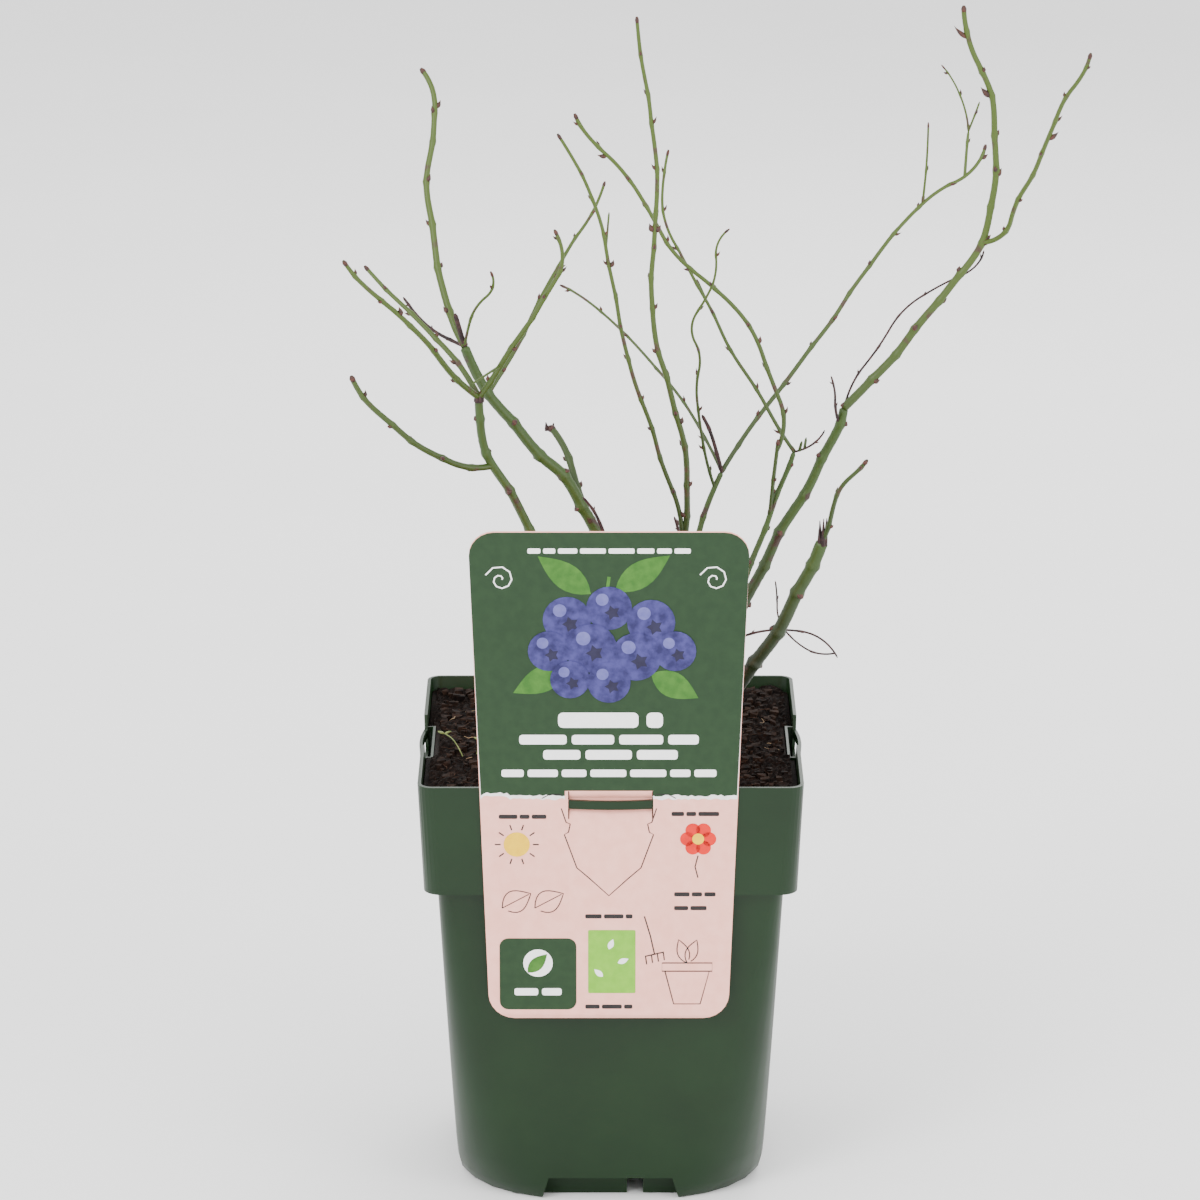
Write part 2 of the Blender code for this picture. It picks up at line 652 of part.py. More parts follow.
def tube(name, points, radii, collection):
    """A tapering limb: a curve object with a bevel and filled caps, made a mesh."""
    widest = max(radii)
    curve = bpy.data.curves.new(name, "CURVE")
    curve.dimensions = "3D"
    curve.bevel_depth = widest
    curve.bevel_resolution = 2 if widest > 0.75 * MM else 1
    curve.use_fill_caps = True
    spline = curve.splines.new("POLY")
    spline.points.add(len(points) - 1)
    for place, co, radius in zip(spline.points, points, radii):
        place.co = (*co, 1)
        place.radius = radius / widest
    flat = bpy.data.objects.new(name, curve)
    collection.objects.link(flat)
    mesh = evaluated_mesh(flat)
    remove_object(flat)
    shape = bmesh.new()
    shape.from_mesh(mesh)
    bpy.data.meshes.remove(mesh)
    bmesh.ops.remove_doubles(shape, verts=shape.verts, dist=0.001 * MM)
    return object_from_bmesh(name, shape, collection)


def picked(limb, points, first=0, last=1):
    """Numbers of the fine points that the tubes of a limb run through, between two shares."""
    end = len(points) - 1
    found = set()
    shares = sorted({0, limb.twigs_from, 1})
    for low, high in zip(shares, shares[1:]):
        if low >= first and high <= last:
            count = max(2, math.ceil((high - low) * end / STRIDE) + 1)
            found.update(np.linspace(low * end, high * end, count).round().astype(int))
    return sorted(found)


def limb_tube(limb, points, first, last, collection):
    """A limb between two shares of its length; a mass starts one gap past its bough."""
    numbers = picked(limb, points, first, last)
    path = [Vector(points[i]) for i in numbers]
    radii = [radius_at(limb, i / (len(points) - 1)) for i in numbers]
    if first > 0:
        path[0] = path[0] + (path[1] - path[0]).normalized() * GAP
    if last >= 1 and limb.tip < BLUNT_TIP:
        path.insert(-1, path[-1] + (path[-2] - path[-1]).normalized() * radii[-1])
        radii.append(radii[-1] * 0.5)
    return tube(limb.name, path, radii, collection)


def joint_cutter(limb, points, index, collection):
    """The stretch of a limb about one of its points, one gap thicker all round."""
    end = len(points) - 1
    numbers = picked(limb, points)
    low = max([i for i in numbers if i <= index - JOINT_REACH], default=0)
    high = min([i for i in numbers if i >= index + JOINT_REACH], default=end)
    numbers = [i for i in numbers if low <= i <= high]
    path = [Vector(points[i]) for i in numbers]
    radii = [radius_at(limb, i / end) + GAP for i in numbers]
    if high == end:
        path[-1] = path[-1] + (path[-1] - path[-2]).normalized() * GAP
    return tube("joint", path, radii, collection)


def cut_from_parent(item, limb, limbs, trails, collection):
    """Leaves one gap between a limb and what it springs from, and its neighbours there."""
    start = trails[limb.name][0]
    if limb.parent is None:
        cutters = [object_from_bmesh("joint", crown_shape(GAP), collection)]
    else:
        parent = limbs[limb.parent]
        index = round(limb.at * (len(trails[limb.parent]) - 1))
        cutters = [joint_cutter(parent, trails[limb.parent], index, collection)]
    for other in limbs.values():
        if other.name == limb.name:
            break
        near = np.linalg.norm(trails[other.name][0] - start) < FORK_REACH
        if near and other.name != limb.parent and other.parent is not None:
            cutters.append(joint_cutter(other, trails[other.name], 0, collection))
    for cutter in cutters:
        combine(item, [cutter], "DIFFERENCE")
    keep_largest(item)


def bud(point, direction, side, radius, collection):
    """A small pointed bud that stands up and out from a node."""
    shape = bmesh.new()
    bmesh.ops.create_cone(
        shape, cap_ends=True, segments=4, radius1=0.75 * radius, radius2=0.1 * radius, depth=BUD_LENGTH
    )
    bmesh.ops.translate(shape, vec=(0, 0, BUD_LENGTH / 2), verts=shape.verts)
    aim = (direction * 0.8 + side * 0.6).normalized()
    turn = Vector((0, 0, 1)).rotation_difference(aim).to_matrix().to_4x4()
    shape.transform(Matrix.Translation(point) @ turn)
    return object_from_bmesh("bud", shape, collection)


def buds_along(limb, points, first, collection):
    """Buds by a seeded rule: one at each node, each turned on from the last."""
    chance = random.Random(limb.name)
    end = len(points) - 1
    turn = chance.uniform(0, 2 * math.pi)
    place = first * limb.length * MM + BUD_SPACING * 0.6
    buds = []
    while place < limb.length * MM - 3 * MM:
        index = round(place / (limb.length * MM) * end)
        point = Vector(points[index])
        direction = (Vector(points[index + 1]) - point).normalized()
        across = direction.cross(Vector((0, 1, 0))).normalized()
        side = Matrix.Rotation(turn, 3, direction) @ across
        radius = radius_at(limb, index / end)
        buds.append(bud(point + side * radius * 0.35, direction, side, radius, collection))
        place += BUD_SPACING * chance.uniform(0.8, 1.25)
        turn += BUD_TURN
    return buds


def side_twigs_of(name, first, last):
    """Side twigs that stand on a limb between two shares, and the twigs that stand on those."""
    found = []
    for twig in SIDE_TWIGS:
        on_limb = twig.parent == name and first <= twig.at <= last
        if on_limb or any(twig.parent == other.name for other in found):
            found.append(twig)
    return found


def make_limbs(collection, materials):
    trails = all_trails()
    limbs = {limb.name: limb for limb in LIMBS}
    for limb in LIMBS:
        points = trails[limb.name]
        whole = limb.twigs_from >= 1
        pieces = [(limb.name if whole else "bough_" + limb.name, 0, limb.twigs_from)]
        if not whole:
            pieces.append(("twigs_" + limb.name, limb.twigs_from, 1))
        for name, first, last in pieces:
            item = limb_tube(limb, points, first, last, collection)
            item.name = name
            fused = []
            for twig in side_twigs_of(limb.name, first, last):
                fused.append(limb_tube(twig, trails[twig.name], 0, 1, collection))
            if first > 0:
                fused += buds_along(limb, points, first, collection)
            if fused:
                combine(item, fused, "UNION")
            if first == 0:
                cut_from_parent(item, limb, limbs, trails, collection)
            finish(item, limb_material(name, materials))


def limb_material(name, materials):
    if "dead" in name or name == "twig_short":
        return materials["dead"]
    if name.startswith("cane"):
        return materials["cane"]
    return materials["shoot"]


def finish(item, material):
    """Gives a part its material and shades its round faces smooth."""
    item.data.materials.clear()
    item.data.materials.append(material)
    item.data.shade_smooth()
    item.data.set_sharp_from_angle(angle=math.radians(40))


def main():
    clear_scene()
    collection = make_collection(OBJECT_NAME)
    materials = {
        "pot": make_material("pot_plastic", POT_GREEN, 0.42),
        "soil": make_material("peat", SOIL_BROWN, 1.0),
        "label": make_material("label_sheet", LABEL_PINK, 0.5),
        "crown": make_material("crown_bark", CROWN_BROWN, 0.9),
        "cane": make_material("cane_bark", CANE_GREEN, 0.6),
        "shoot": make_material("shoot_bark", SHOOT_GREEN, 0.55),
        "dead": make_material("dead_bark", DEAD_PURPLE, 0.8),
    }
    finish(make_pot(collection), materials["pot"])
    finish(make_soil(collection), materials["soil"])
    finish(make_label(collection), materials["label"])
    finish(make_crown(collection), materials["crown"])
    make_limbs(collection, materials)


main()
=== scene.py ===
import json
import math
import random
from collections import namedtuple

import bmesh
import bpy
import numpy as np
from mathutils import Matrix, Vector

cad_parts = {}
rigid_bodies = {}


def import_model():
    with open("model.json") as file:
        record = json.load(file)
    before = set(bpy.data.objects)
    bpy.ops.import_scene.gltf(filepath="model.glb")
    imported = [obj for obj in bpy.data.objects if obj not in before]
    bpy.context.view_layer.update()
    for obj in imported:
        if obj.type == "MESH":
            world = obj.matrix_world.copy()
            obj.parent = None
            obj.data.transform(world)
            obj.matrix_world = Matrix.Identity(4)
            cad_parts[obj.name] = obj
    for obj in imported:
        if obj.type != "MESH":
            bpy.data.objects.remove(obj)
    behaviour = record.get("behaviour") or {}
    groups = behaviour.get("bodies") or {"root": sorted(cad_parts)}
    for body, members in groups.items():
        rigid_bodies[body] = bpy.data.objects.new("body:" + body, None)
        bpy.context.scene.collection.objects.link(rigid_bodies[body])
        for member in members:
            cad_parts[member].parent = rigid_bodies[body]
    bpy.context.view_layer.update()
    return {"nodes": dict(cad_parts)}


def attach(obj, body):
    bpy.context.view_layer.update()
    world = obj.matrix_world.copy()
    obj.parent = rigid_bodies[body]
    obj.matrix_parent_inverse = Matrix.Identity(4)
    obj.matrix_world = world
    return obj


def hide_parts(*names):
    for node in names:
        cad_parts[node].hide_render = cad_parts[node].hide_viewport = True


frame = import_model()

# Lengths are in millimetres, unless a comment says otherwise
MM = 0.001
RIM_WIDTH = 130
COLLAR_FOOT_WIDTH = 126.4
COLLAR_HEIGHT = 38.6
POT_HEIGHT = 153
SOIL_LEVEL = 148
CROWN_PLACE = (20, 1)
CANE_START = 150
BUD_SPACING = 13
BUD_TURN = math.radians(144)
LABEL_FACE = 0.8
PRINT_STEP = 0.04
FRUIT_LIFT = 19
BARK_FULLNESS = 1.1
NODE_SWELL = 0.22
KNEE_SHARE = 0.12
CANE_SIDES, CANE_RELIEF = 14, 0.035
SHOOT_SIDES, SHOOT_RELIEF = 10, 0.025
RIDGES = (2, 3, 5)
DEPTH = (0, 1, 0)

# Thickness from foot to tip, as shares of a bud's width and in millimetres for the others
BUD_SHAPE = (0.55, 0.85, 0.9, 0.72, 0.45, 0.2, 0.04)
SPLINTER_SHAPE = (0.9, 0.8, 0.5, 0.15)
FIBRE_SHAPE = (0.08, 0.14, 0.15, 0.12, 0.06)
SEED_LEAF_SHAPE = (0.15, 0.5, 0.4, 0.1)

# The soil's skin is a grid of cells with lumps on it. Its loose crumbs and strewn fibres lie in
# squares of their own, and none of it lies at the pockets of the pot's wall. In millimetres.
SKIN_CELLS = 150
SKIN_HALF = 61.6
SKIN_LUMPS = 420
SKIN_GRAIN = 1.2
SKIN_LUMP_HEIGHT = 1.6
POCKET_HALF = 19
POCKET_START = 58.8
CRUMB_COUNT = 1500
CRUMB_HALF = 59
STREW_HALF = 56
STREW_TOP = 152

# The label's sheet and its print, as millimetres across it and up from the rim
SHEET_HALF = 46.7
SHEET_TOP = 90.7
SHEET_TAPER = 0.0357
PRINT_HALF = 46.4
PRINT_TOP = 90.4
PRINT_CORNER = 8.2
TONGUE_HALF = 14.8
TONGUE_TOP = -0.7
TORN_EDGE = -2.4
TORN_STEP = 1.1
TORN_DEPTH = 0.4
DISC_SIDES = 24

# Corners of each side of a box whose corners count up in x, then y, then z
BOX_FACES = ((0, 2, 3, 1), (4, 5, 7, 6), (0, 1, 5, 4), (2, 6, 7, 3), (0, 4, 6, 2), (1, 3, 7, 5))

# Foot of each cane as millimetres from the middle of the root crown
CANE_FEET = {
    "cane_left": (-6.5, -2.5),
    "cane_crooked": (-5.5, 3.5),
    "cane_slender": (-1, 0),
    "cane_middle": (0, 6),
    "cane_forked": (3, -1.5),
    "cane_tall": (6.5, 4.5),
    "cane_stout": (7, -5),
}

# The same rule as in the part: a limb leaves its parent at a share of the parent's length. Its
# leans from upright to +X and its swings to -Y stand at even places, in degrees, and its length
# and the thicknesses of its foot and tip are in millimetres.
Limb = namedtuple("Limb", "name parent at length leans swings base tip")

LIMBS = (
    Limb("cane_left", None, 0, 145, (-25, -25, -30, -25, -30, 5), (10,), 3.4, 2.5),
    Limb("cane_crooked", None, 0, 160, (-10, -15, -15, -20, -45, -35, -20), (0, 10), 4.6, 2.9),
    Limb("cane_slender", None, 0, 70, (5,), (0,), 2.8, 2.2),
    Limb("cane_middle", None, 0, 95, (5, 5, 10, 15, 25), (-5,), 2.4, 1.6),
    Limb("cane_forked", None, 0, 110, (25, 20, 20), (-5, 0), 2.6, 1.5),
    Limb("cane_tall", None, 0, 130, (20, 25, 25, 30, 15), (-10, 0, 10), 4.0, 2.8),
    Limb("cane_stout", None, 0, 95, (35, 35, 25, 20), (15,), 4.8, 3.8),
    Limb("left_low", "cane_left", 0.82, 70, (-95, -60, -45, -40, -20), (25,), 2.1, 1.6),
    Limb("left_front", "cane_left", 1, 82, (-45, -30, -45, -30), (30,), 2.0, 1.3),
    Limb("left_back", "cane_left", 1, 60, (-30, -50, -45), (-20,), 1.9, 1.2),
    Limb("left_inner", "cane_left", 1, 80, (30, 30, 30, 25, -30), (25,), 2.0, 1.1),
    Limb("inner_back", "cane_crooked", 0.88, 90, (40, 30, 30, 40, 20), (-35,), 1.7, 0.9),
    Limb("left_tall", "cane_crooked", 1, 100, (-35, -15, -10, -10, 10, 5, -45), (-25,), 2.3, 1.6),
    Limb("stub_dead_left", "cane_crooked", 1, 12, (-15,), (5,), 1.6, 1.4),
    Limb("twig_curled", "cane_crooked", 1, 35, (10, 15, 45, -25), (25,), 0.95, 0.8),
    Limb("twig_dead_left", "cane_crooked", 1, 35, (-85, -40), (-45,), 1.15, 0.8),
    Limb("stub_cut_left", "cane_crooked", 0.55, 32, (-20, -20, -45), (-35,), 2.3, 2.1),
    Limb("twig_dead_low", "cane_crooked", 0.42, 30, (10, -20, -35), (25,), 1.4, 0.8),
    Limb("centre", "cane_slender", 1, 195, (5, 0, -15, -15, 0, 5, -5, -10, -5), (15, 5), 2.0, 1.1),
    Limb(
        "slender", "cane_slender", 1, 165,
        (0, -20, -15, -20, -10, -10, -10, -25, -30), (15,), 1.5, 1.0,
    ),
    Limb("twig_short", "cane_slender", 1, 15, (-15,), (30,), 0.9, 0.7),
    Limb("sweep", "cane_middle", 1, 150, (30, 40, 40, 40, 35, 40, 45, 70, 15), (-20,), 1.55, 1.1),
    Limb("cross_back", "cane_middle", 1, 90, (-25, -35, -45, -50, -70), (-25,), 1.1, 0.8),
    Limb("stub_dead_middle", "cane_middle", 1, 25, (-10, -25), (20,), 1.2, 1.1),
    Limb(
        "zigzag", "cane_middle", 0.94, 110,
        (-20, -10, -10, -5, 10, -25, 30, 20, -5, 50), (20,), 1.05, 0.7,
    ),
    Limb("stub_cut_fork", "cane_forked", 0.78, 30, (5,), (15,), 1.25, 1.2),
    Limb("long_back", "cane_forked", 1, 115, (-35, -30, -35, -25, -30, -30, 0, 15), (-10,), 1.2, 0.85),
    Limb(
        "long_front", "stub_cut_fork", 0.88, 140,
        (25, -20, -20, -40, -55, -30, -30, -50, -25), (0, -5), 1.4, 1.2,
    ),
    Limb("twig_dead_link", "cane_forked", 1, 15, (75, 50, 20), (20,), 0.7, 0.6),
    Limb("tall", "cane_tall", 1, 160, (45, 40, 35, 40, 15, 0, -5, -30, 0), (5,), 2.75, 1.5),
    Limb("outer", "tall", 0.47, 95, (80, 10, 25, 15, 15, 30, 10), (30,), 1.6, 1.2),
    Limb("twig_dead_vine", "cane_tall", 1, 80, (15, 40, 30, 55, 60, 5), (-30, 40), 0.75, 0.6),
    Limb("spur_dead_right", "cane_tall", 0.95, 25, (-20, 0, -20), (35,), 1.0, 0.6),
    Limb("new_right", "cane_stout", 1, 40, (20, 10, 15, 40, 35), (25,), 1.6, 1.3),
    Limb("twig_dead_wire", "cane_tall", 0.27, 45, (65, 75, 90, 100, 130, 155), (-10,), 0.8, 0.6),
)

# Side twigs are fused to the limb that they stand on, and are described in the same way.
SIDE_TWIGS = (
    Limb("left_inner_side", "left_inner", 0.2, 15, (-110,), (50,), 0.9, 0.7),
    Limb("slender_side", "slender", 0.72, 12, (5,), (-15,), 0.7, 0.6),
    Limb("sweep_side_low", "sweep", 0.79, 30, (5, 0), (10,), 0.8, 0.6),
    Limb("sweep_side_top", "sweep", 0.91, 16, (5,), (-15,), 1.0, 0.8),
    Limb("sweep_fork_left", "sweep_side_top", 1, 28, (-5, -40), (15,), 0.7, 0.5),
    Limb("sweep_fork_right", "sweep_side_top", 1, 12, (25,), (-35,), 0.7, 0.6),
    Limb("long_back_side", "long_back", 0.52, 8, (-25,), (-25,), 0.9, 0.6),
    Limb("link_stub_left", "twig_dead_link", 0.1, 5, (10,), (35,), 1.0, 0.8),
    Limb("link_stub_right", "twig_dead_link", 0.25, 4, (10,), (-25,), 0.9, 0.8),
    Limb("wire_back", "twig_dead_wire", 0.96, 45, (-95, -55, -35, 0, -10), (20,), 0.6, 0.5),
)


def unit(vector):
    return vector / np.linalg.norm(vector)


def units(vectors):
    return vectors / np.linalg.norm(vectors, axis=1)[:, None]


def trail(start, limb):
    count = max(3, round(limb.length))
    places = (np.arange(count) + 0.5) / count
    lean = np.radians(np.interp(places, np.linspace(0, 1, len(limb.leans)), limb.leans))
    swing = np.radians(np.interp(places, np.linspace(0, 1, len(limb.swings)), limb.swings))
    steps = np.stack(
        [np.sin(lean) * np.cos(swing), -np.sin(swing), np.cos(lean) * np.cos(swing)], axis=1
    )
    return np.vstack([start, start + np.cumsum(steps * limb.length / count, axis=0)])


def all_trails():
    trails = {}
    for limb in LIMBS + SIDE_TWIGS:
        if limb.parent is None:
            x, y = CANE_FEET[limb.name]
            start = np.array([CROWN_PLACE[0] + x, CROWN_PLACE[1] + y, CANE_START - 1.0])
        else:
            parent = trails[limb.parent]
            start = parent[round(limb.at * (len(parent) - 1))]
        trails[limb.name] = trail(start, limb)
    return trails


class Bag:
    """Gathers points and faces in millimetres, and makes one piece of them."""

    def __init__(self):
        self.points = []
        self.faces = []

    def add(self, points, faces):
        first = len(self.points)
        self.points += [tuple(p) for p in points]
        self.faces += [tuple(first + i for i in face) for face in faces]

    def piece(self, name, material, slot, nodes=(), smooth=True):
        mesh = bpy.data.meshes.new(name)
        mesh.from_pydata([tuple(c * MM for c in p) for p in self.points], [], self.faces)
        mesh.materials.append(material)
        if smooth:
            mesh.shade_smooth()
        item = bpy.data.objects.new(name, mesh)
        bpy.context.scene.collection.objects.link(item)
        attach(item, "root")
        if nodes:
            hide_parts(*nodes)


def sweep(bag, path, radii, sides, relief=0.0, chance=None):
    """A round limb along a path, with long low ridges where it has bark relief."""
    path = np.array(path, float)
    radii = np.array(radii, float)
    along = units(np.gradient(path, axis=0))
    across = units(np.cross(along, DEPTH))
    other = np.cross(along, across)
    turn = np.linspace(0, 2 * math.pi, sides, endpoint=False)
    shape = np.ones((len(path), sides))
    if relief:
        s = np.arange(len(path))[:, None]
        for wave in RIDGES:
            phase = chance.uniform(0, 6)
            drift = chance.uniform(-0.06, 0.06)
            shape += relief * np.sin(wave * turn[None, :] + phase + drift * s)
        dice = np.random.default_rng(chance.randrange(10 ** 6))
        shape += dice.normal(0, relief * 0.5, shape.shape)
    ring = (radii[:, None] * shape)[:, :, None]
    points = path[:, None, :] + ring * (
        np.cos(turn)[None, :, None] * across[:, None, :]
        + np.sin(turn)[None, :, None] * other[:, None, :]
    )
    faces = []
    for k in range(len(path) - 1):
        for i in range(sides):
            j = (i + 1) % sides
            a = k * sides
            faces.append((a + i, a + j, a + sides + j, a + sides + i))
    faces.append(tuple(range(sides))[::-1])
    faces.append(tuple((len(path) - 1) * sides + i for i in range(sides)))
    bag.add(points.reshape(-1, 3), faces)


def bud(bag, point, direction, side, width, length):
    """A scaly pointed bud that leans out from its node and curls back towards the shoot."""
    steps = np.linspace(0, 1, len(BUD_SHAPE))
    aim = unit(direction * 0.75 + side * 0.6)
    path = [point + aim * length * t - side * 0.35 * length * t * t * 0.5 for t in steps]
    radii = width * np.array(BUD_SHAPE)
    sweep(bag, path, radii, 8)


def collar(bag, path, radii, chance):
    """Brown scales round the foot of a shoot, and a brown cap over its cut tip."""
    for k in range(5):
        turn = 2 * math.pi * k / 5 + chance.uniform(-0.4, 0.4)
        out = np.array([math.cos(turn), 0.6 * math.sin(turn), 0.3])
        foot = path[0] + out * radii[0] * 0.55
        rise = unit(path[3] - path[0])
        scale = [foot + rise * 2.4 * t + out * 0.3 * t for t in (0, 0.3, 0.7, 1)]
        sweep(bag, scale, [0.55 * radii[0], 0.6 * radii[0], 0.4 * radii[0], 0.05], 7)
    tip = radii[-2] * 1.06
    sweep(bag, path[-3:], [tip, tip * 1.08, tip * 0.6], 9)


def kinked(path, places, reach, chance):
    """The same path with a slight knee at each node, to one side and then to the other."""
    ends = [0, *places, len(path) - 1]
    offsets = [0.0]
    way = chance.choice((-1, 1))
    for _ in places:
        offsets.append(way * reach * chance.uniform(0.6, 1.4))
        way = -way
    offsets.append(0.0)
    shift = np.interp(np.arange(len(path)), ends, offsets)
    across = units(np.cross(np.gradient(path, axis=0), DEPTH))
    return path + across * shift[:, None]


def grow(trails, bags):
    for limb in LIMBS + SIDE_TWIGS:
        chance = random.Random(limb.name)
        path = trails[limb.name]
        end = len(path) - 1
        share = np.linspace(0, 1, end + 1)
        radii = BARK_FULLNESS * (limb.base + (limb.tip - limb.base) * share) / 2
        dead = "dead" in limb.name or limb.name in ("twig_short", "wire_back")
        cane = limb.name.startswith("cane")
        fresh = not cane and not dead and limb.length > 25
        places = []
        place = BUD_SPACING * chance.uniform(0.5, 1.1)
        while place < end - 3:
            places.append(round(place))
            place += BUD_SPACING * chance.uniform(0.75, 1.3)
        for at in places:
            radii = radii + radii * NODE_SWELL * np.exp(-((np.arange(end + 1) - at) / 1.1) ** 2)
        radii[-1] *= 0.45
        path = kinked(path, places, KNEE_SHARE * limb.base, chance)
        kind = "dead" if dead else "cane" if cane else "shoot"
        sides, relief = (CANE_SIDES, CANE_RELIEF) if cane else (SHOOT_SIDES, SHOOT_RELIEF)
        sweep(bags[kind], path, radii, sides, relief, chance)
        if fresh:
            collar(bags["bud"], path, radii, chance)
        turn = chance.uniform(0, 6.28)
        for at in places:
            direction = unit(path[at + 1] - path[at])
            across = unit(np.cross(direction, DEPTH))
            side = math.cos(turn) * across + math.sin(turn) * np.cross(direction, across)
            turn += BUD_TURN
            length = 1.8 if cane or dead else chance.uniform(2.0, 3.3)
            width = max(0.5, 0.65 * radii[at]) * (0.6 if dead else 1)
            bud(bags["bud"], path[at] + side * radii[at] * 0.6, direction, side, width, length)
        if fresh:
            direction = unit(path[-1] - path[-2])
            side = np.cross(direction, DEPTH) * 0.1
            bud(bags["bud"], path[-3], direction, side, limb.tip * 0.6, 2.1)


# The large buds that show best: limb, share of its length, side, width and length
LARGE_BUDS = (
    ("tall", 0.94, -1, 0.9, 6.5),
    ("tall", 0.80, -1, 1.2, 5.0),
    ("tall", 0.62, 1, 1.1, 3.5),
    ("tall", 0.48, 1, 1.3, 3.5),
    ("outer", 0.58, 1, 1.0, 5.0),
    ("centre", 0.62, -1, 1.2, 3.4),
    ("centre", 0.62, 1, 1.1, 3.0),
    ("centre", 0.25, 1, 1.0, 2.8),
    ("left_tall", 0.86, 1, 0.9, 3.2),
    ("left_front", 0.60, 1, 1.0, 4.0),
    ("slender", 0.68, 1, 0.9, 3.0),
    ("inner_back", 0.55, 1, 0.9, 3.6),
    ("long_front", 0.88, -1, 0.9, 3.4),
    ("long_front", 0.28, 1, 0.8, 2.8),
    ("sweep", 0.97, 1, 0.9, 3.0),
)


def large_buds(trails, bags):
    for name, share, way, width, length in LARGE_BUDS:
        path = trails[name]
        at = round(share * (len(path) - 2))
        direction = unit(path[at + 1] - path[at])
        side = way * np.array([direction[2], 0, -direction[0]])
        bud(bags["bud"], path[at] + side * 0.5, direction, side, width, length)


def dead_ends(trails, bags):
    """Jagged dead wood at the cut tops of two canes and a stub: how many splinters, how high."""
    for name, count, reach in (("cane_stout", 5, 11), ("cane_left", 6, 4), ("stub_cut_left", 4, 3)):
        chance = random.Random(name + "_end")
        top = trails[name][-1]
        for i in range(count):
            turn = 2 * math.pi * i / count + chance.uniform(-0.4, 0.4)
            out = np.array([math.cos(turn), math.sin(turn), 0])
            high = reach * chance.uniform(0.5, 1)
            path = []
            for t in (0, 0.3, 0.6, 1):
                path.append(top + out * (0.9 + 0.5 * t) + np.array([0, 0, high * t - 1.5]))
            sweep(bags["dead"], path, SPLINTER_SHAPE, 7)


# Materials

# Here the bump's distance is in metres, and each scale counts the noise's cells in a metre
NOISE_DETAIL = 6
NOISE_EDGES = (0.35, 0.65)
BUMP_DISTANCE = 0.0003
SPECK_SCALE = 160
SPECK_EDGES = (0.60, 0.68)


def noise_colour(name, low, high, scale, roughness, bump, specular=0.5):
    """Two colours mixed by noise, with a bump of the same grain."""
    material = bpy.data.materials.new(name)
    material.use_nodes = True
    tree = material.node_tree
    shader = tree.nodes["Principled BSDF"]
    place = tree.nodes.new("ShaderNodeTexCoord")
    noise = tree.nodes.new("ShaderNodeTexNoise")
    noise.inputs["Scale"].default_value = scale
    noise.inputs["Detail"].default_value = NOISE_DETAIL
    ramp = tree.nodes.new("ShaderNodeValToRGB")
    for stop, place_on_ramp, colour in zip(ramp.color_ramp.elements, NOISE_EDGES, (low, high)):
        stop.position = place_on_ramp
        stop.color = (*colour, 1)
    lift = tree.nodes.new("ShaderNodeBump")
    lift.inputs["Strength"].default_value = bump
    lift.inputs["Distance"].default_value = BUMP_DISTANCE
    link = tree.links.new
    link(place.outputs["Object"], noise.inputs["Vector"])
    link(noise.outputs["Fac"], ramp.inputs["Fac"])
    link(ramp.outputs["Color"], shader.inputs["Base Color"])
    link(noise.outputs["Fac"], lift.inputs["Height"])
    link(lift.outputs["Normal"], shader.inputs["Normal"])
    shader.inputs["Roughness"].default_value = roughness
    shader.inputs["Specular IOR Level"].default_value = specular
    return material


def bark(name, foot, top, speck, foot_height, top_height):
    """Green bark that turns from one colour to another with height, with brown specks."""
    material = noise_colour(name, foot, top, 900, 0.5, 0.25)
    tree = material.node_tree
    shader = tree.nodes["Principled BSDF"]
    place = tree.nodes.new("ShaderNodeTexCoord")
    apart = tree.nodes.new("ShaderNodeSeparateXYZ")
    height = tree.nodes.new("ShaderNodeMapRange")
    height.inputs["From Min"].default_value = foot_height
    height.inputs["From Max"].default_value = top_height
    climb = tree.nodes.new("ShaderNodeMix")
    climb.data_type = "RGBA"
    climb.inputs["A"].default_value = (*foot, 1)
    climb.inputs["B"].default_value = (*top, 1)
    patch = tree.nodes.new("ShaderNodeTexNoise")
    patch.inputs["Scale"].default_value = SPECK_SCALE
    edge = tree.nodes.new("ShaderNodeMapRange")
    edge.inputs["From Min"].default_value = SPECK_EDGES[0]
    edge.inputs["From Max"].default_value = SPECK_EDGES[1]
    mix = tree.nodes.new("ShaderNodeMix")
    mix.data_type = "RGBA"
    mix.inputs["B"].default_value = (*speck, 1)
    link = tree.links.new
    link(place.outputs["Object"], apart.inputs["Vector"])
    link(place.outputs["Object"], patch.inputs["Vector"])
    link(apart.outputs["Z"], height.inputs["Value"])
    link(height.outputs["Result"], climb.inputs["Factor"])
    link(patch.outputs["Fac"], edge.inputs["Value"])
    link(edge.outputs["Result"], mix.inputs["Factor"])
    link(climb.outputs["Result"], mix.inputs["A"])
    link(mix.outputs["Result"], shader.inputs["Base Color"])
    return material


# Soil

def soil_height(x, y):
    """A gentle swell with one heap at the front left, level round the root crown."""
    from_crown = math.hypot(x - CROWN_PLACE[0], y - CROWN_PLACE[1])
    rise = 0.9 * math.sin(x / 15) * math.cos(y / 12)
    heap = 2.2 * math.exp(-((x + 45) ** 2 + (y + 42) ** 2) / 22 ** 2)
    return SOIL_LEVEL + (rise + heap) * min(1, max(0, (from_crown - 13) / 12))


def in_pocket(x, y):
    """Whether a place lies at one of the pockets of the pot's wall, behind the label loops."""
    low, high = sorted((abs(x), abs(y)))
    return low < POCKET_HALF and high > POCKET_START


